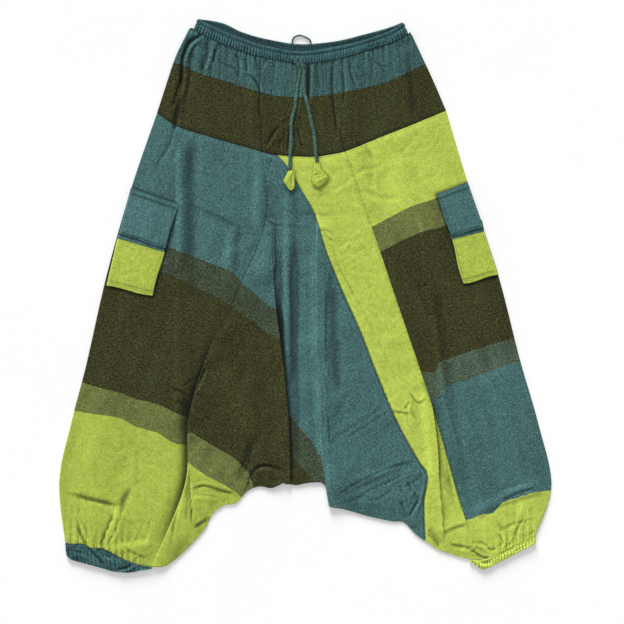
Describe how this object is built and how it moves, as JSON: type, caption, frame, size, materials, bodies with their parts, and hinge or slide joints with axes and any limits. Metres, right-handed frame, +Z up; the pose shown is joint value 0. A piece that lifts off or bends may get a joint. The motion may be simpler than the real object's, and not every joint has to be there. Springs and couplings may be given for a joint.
{
  "type": "harem pants",
  "caption": "Patchwork cotton harem pants laid flat: gathered elastic waist with drawstring, wide yoke, low crotch, side pockets with flaps, tapered legs with elastic ankle cuffs.",
  "frame": {"origin": "on the surface that the garment lies on, under the middle of its outline", "axes": "+Y to the waist, +X to the wearer's left leg, +Z up out of the front of the garment"},
  "size_m": [0.8594, 0.9697, 0.0135],
  "materials": {
    "teal_cotton": "matte handwoven cotton",
    "lime_cotton": "matte handwoven cotton",
    "striped_cotton": "matte handwoven cotton in broad stripes",
    "cord_cotton": "matte cotton tube cord"
  },
  "bodies": {
    "root": {"waistband": "teal_cotton", "yoke_front": "striped_cotton", "yoke_back": "striped_cotton", "yoke_side_right": "striped_cotton", "yoke_side_left": "striped_cotton", "side_panel_right": "striped_cotton", "side_panel_left": "striped_cotton", "centre_panel_front": "striped_cotton", "centre_panel_back": "striped_cotton", "pocket_bag_right": "lime_cotton", "pocket_bag_left": "lime_cotton", "pocket_welt_right": "teal_cotton", "pocket_welt_left": "teal_cotton", "pocket_flap_right": "teal_cotton", "pocket_flap_left": "teal_cotton", "cuff_right": "teal_cotton", "cuff_left": "lime_cotton", "drawstring_right": "cord_cotton", "drawstring_left": "cord_cotton", "drawstring_tip_right": "lime_cotton", "drawstring_tip_left": "lime_cotton", "hang_loop": "teal_cotton"}
  },
  "joints": []
}
